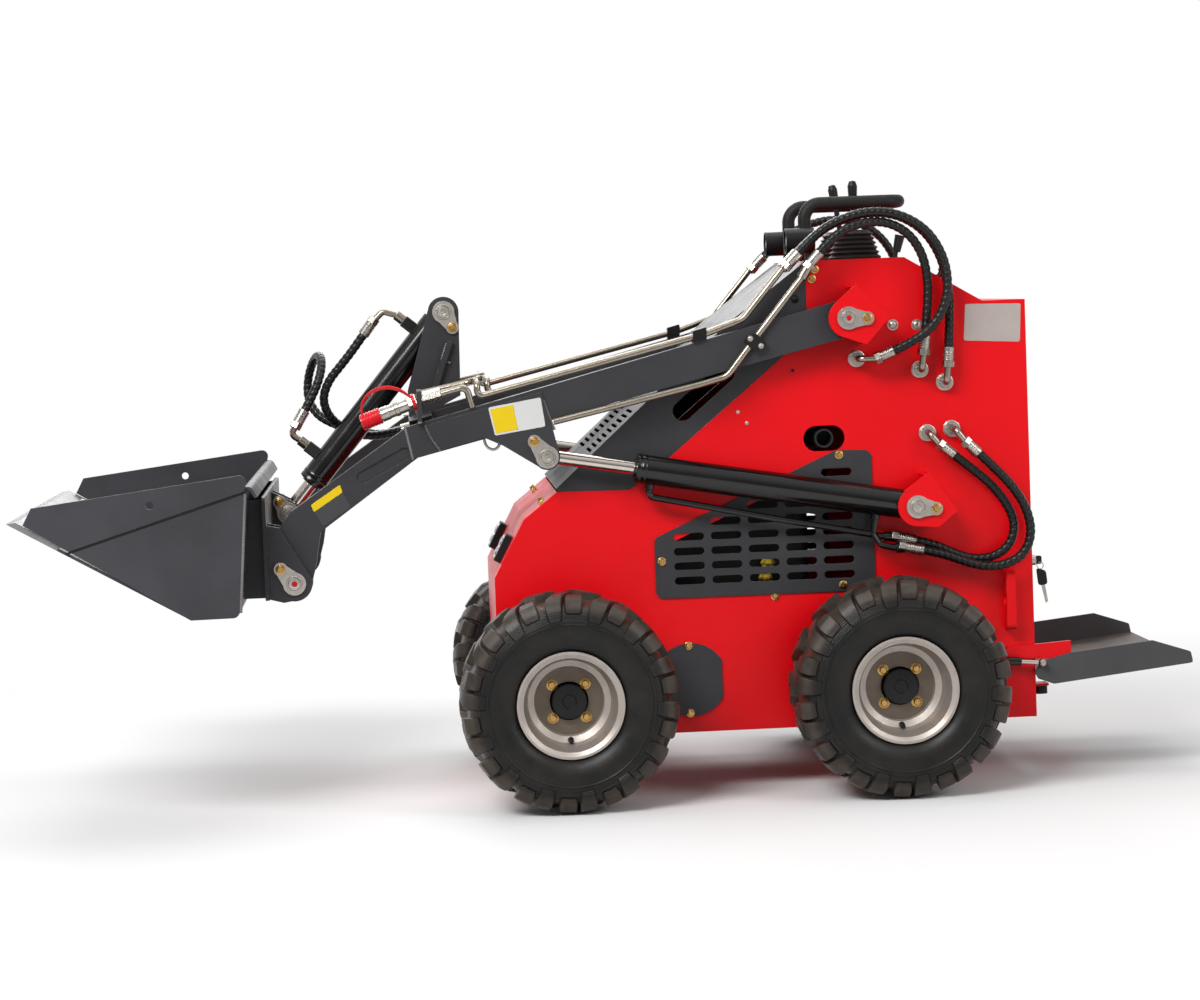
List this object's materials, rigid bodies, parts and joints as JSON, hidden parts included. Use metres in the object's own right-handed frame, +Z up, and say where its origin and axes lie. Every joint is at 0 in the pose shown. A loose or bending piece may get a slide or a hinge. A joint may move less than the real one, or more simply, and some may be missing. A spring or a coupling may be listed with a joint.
{
  "type": "stand-on skid steer loader",
  "caption": "Compact stand-on loader on wheels, with a lifting arm, hydraulic cylinders, a tilting bucket, an engine box with a hand loop and a rear step for the operator.",
  "frame": {"origin": "Middle of the bounding box in plan, on the ground under the tyres.", "axes": "+X forward to the bucket, +Y to the machine's left, +Z up."},
  "size_m": [2.466, 1.072, 1.2879],
  "materials": {
    "red_paint": "gloss signal red paint",
    "dark_paint": "satin anthracite paint",
    "black_paint": "gloss black paint",
    "tyre_rubber": "matt black tyre rubber",
    "rim_silver": "warm silver paint",
    "chrome_rod": "polished chrome",
    "zinc_steel": "zinc plated steel",
    "nickel_pipe": "plated steel pipe",
    "hose_rubber": "black spiral guard over a rubber hose",
    "soft_rubber": "matt black rubber",
    "black_plastic": "black plastic",
    "engine_iron": "dark cast iron"
  },
  "bodies": {
    "chassis": {"wheel_drives": "dark_paint", "left_side_plate": "red_paint", "right_side_plate": "red_paint", "side_covers": "dark_paint", "belly_plate": "dark_paint", "front_panel": "red_paint", "console_top": "red_paint", "rear_panel": "red_paint", "engine_hood": "dark_paint", "engine": "engine_iron", "pivot_brackets": "red_paint", "chassis_pins": "zinc_steel", "platform": "dark_paint", "platform_arms": "red_paint", "platform_springs": "black_paint", "platform_buffers": "soft_rubber", "handlebar": "black_plastic", "lever_boots": "soft_rubber", "control_levers": "black_plastic", "lamps": "black_plastic", "hose_fittings": "zinc_steel", "arm_hose_inner": "hose_rubber", "arm_hose_outer": "hose_rubber", "arm_hose_side": "hose_rubber", "lift_hose_front": "hose_rubber", "lift_hose_rear": "hose_rubber", "right_arm_hose": "hose_rubber"},
    "loader_arm": {"left_arm": "dark_paint", "right_arm": "dark_paint", "cross_tube": "dark_paint", "arm_pins": "zinc_steel", "arm_pipes": "nickel_pipe", "aux_couplers": "zinc_steel", "tilt_hose_upper": "hose_rubber", "tilt_hose_lower": "hose_rubber"},
    "bucket": {"attach_plate": "dark_paint", "bucket_pins": "zinc_steel", "bucket_shell": "dark_paint", "bucket_sides": "dark_paint", "cutting_edge": "dark_paint", "bucket_frame": "dark_paint"},
    "left_lift_barrel": {"left_lift_barrel": "black_paint", "left_lift_pipes": "nickel_pipe"},
    "right_lift_barrel": {"right_lift_barrel": "black_paint", "right_lift_pipes": "nickel_pipe"},
    "left_lift_rod": {"left_lift_rod": "chrome_rod"},
    "right_lift_rod": {"right_lift_rod": "chrome_rod"},
    "tilt_barrel": {"tilt_barrel": "black_paint", "tilt_fittings": "nickel_pipe"},
    "tilt_rod": {"tilt_rod": "chrome_rod"},
    "front_left_wheel": {"front_left_tyre": "tyre_rubber", "front_left_rim": "rim_silver"},
    "front_right_wheel": {"front_right_tyre": "tyre_rubber", "front_right_rim": "rim_silver"},
    "rear_left_wheel": {"rear_left_tyre": "tyre_rubber", "rear_left_rim": "rim_silver"},
    "rear_right_wheel": {"rear_right_tyre": "tyre_rubber", "rear_right_rim": "rim_silver"}
  },
  "joints": [
    {"name": "arm_lift", "type": "hinge", "parent": "chassis", "child": "loader_arm", "pos_m": [-0.506, 0, 0.995], "axis": [0, -1, 0], "range_deg": [-17.5, 55], "deforming": ["arm_hose_inner", "arm_hose_outer", "arm_hose_side", "right_arm_hose"]},
    {"name": "bucket_tilt", "type": "hinge", "parent": "loader_arm", "child": "bucket", "pos_m": [0.667, 0, 0.489], "axis": [0, 1, 0], "range_deg": [-8, 72]},
    {"name": "left_lift_swing", "type": "hinge", "parent": "chassis", "child": "left_lift_barrel", "pos_m": [-0.639, 0.322, 0.595], "axis": [0, -1, 0], "range_deg": [-13, 39], "deforming": ["lift_hose_front", "lift_hose_rear"]},
    {"name": "left_lift_slide", "type": "slide", "parent": "left_lift_barrel", "child": "left_lift_rod", "axis": [0.985, 0, 0.1725], "range_m": [-0.096, 0.3]},
    {"name": "right_lift_swing", "type": "hinge", "parent": "chassis", "child": "right_lift_barrel", "pos_m": [-0.639, -0.322, 0.595], "axis": [0, -1, 0], "range_deg": [-13, 39]},
    {"name": "right_lift_slide", "type": "slide", "parent": "right_lift_barrel", "child": "right_lift_rod", "axis": [0.985, 0, 0.1725], "range_m": [-0.096, 0.3]},
    {"name": "tilt_swing", "type": "hinge", "parent": "loader_arm", "child": "tilt_barrel", "pos_m": [0.332, 0, 1.038], "axis": [0, -1, 0], "range_deg": [-1, 3], "deforming": ["tilt_hose_upper", "tilt_hose_lower"]},
    {"name": "tilt_slide", "type": "slide", "parent": "tilt_barrel", "child": "tilt_rod", "axis": [0.6418, 0, -0.7669], "range_m": [-0.02, 0.15]},
    {"name": "front_left_spin", "type": "hinge", "parent": "chassis", "child": "front_left_wheel", "pos_m": [0.11, 0.423, 0.228], "axis": [0, 1, 0], "continuous": true},
    {"name": "front_right_spin", "type": "hinge", "parent": "chassis", "child": "front_right_wheel", "pos_m": [0.11, -0.423, 0.228], "axis": [0, 1, 0], "continuous": true},
    {"name": "rear_left_spin", "type": "hinge", "parent": "chassis", "child": "rear_left_wheel", "pos_m": [-0.58, 0.423, 0.228], "axis": [0, 1, 0], "continuous": true},
    {"name": "rear_right_spin", "type": "hinge", "parent": "chassis", "child": "rear_right_wheel", "pos_m": [-0.58, -0.423, 0.228], "axis": [0, 1, 0], "continuous": true}
  ],
  "couplings": [
    {"joint": "left_lift_swing", "follows": "arm_lift", "ratio": 0.696},
    {"joint": "left_lift_slide", "follows": "arm_lift", "m_per_rad": 0.31},
    {"joint": "right_lift_swing", "follows": "arm_lift", "ratio": 0.696},
    {"joint": "right_lift_slide", "follows": "arm_lift", "m_per_rad": 0.31},
    {"joint": "tilt_swing", "follows": "bucket_tilt", "ratio": 0.028},
    {"joint": "tilt_slide", "follows": "bucket_tilt", "m_per_rad": 0.115}
  ]
}
